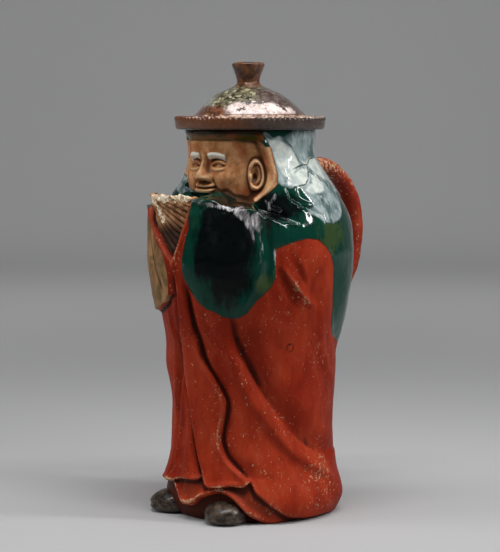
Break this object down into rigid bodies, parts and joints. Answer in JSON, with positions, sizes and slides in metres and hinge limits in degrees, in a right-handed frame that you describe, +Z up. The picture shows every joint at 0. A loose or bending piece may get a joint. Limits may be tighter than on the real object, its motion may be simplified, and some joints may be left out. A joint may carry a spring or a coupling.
{
  "type": "lidded figural jug",
  "caption": "Hollow glazed pottery jug shaped as a standing hooded figure, with a loop handle at the back, a small pouring hole over the joined sleeves and a lift-off hat lid.",
  "frame": {"origin": "centre of the flat underside, on the upright axis of the vessel", "axes": "+Z up along the vessel's axis; the figure faces -Y, the handle is at +Y, and the figure's left arm is on the +X side"},
  "size_m": [0.1292, 0.1649, 0.2815],
  "materials": {
    "jug": "matte brick-red slip on the robe, glossy dark green and milky white glaze on the shoulders and hood",
    "lid": "glossy mottled brown glaze with paler olive and grey flecks"
  },
  "bodies": {
    "root": {"jug": "jug", "lid": "lid"}
  },
  "joints": []
}
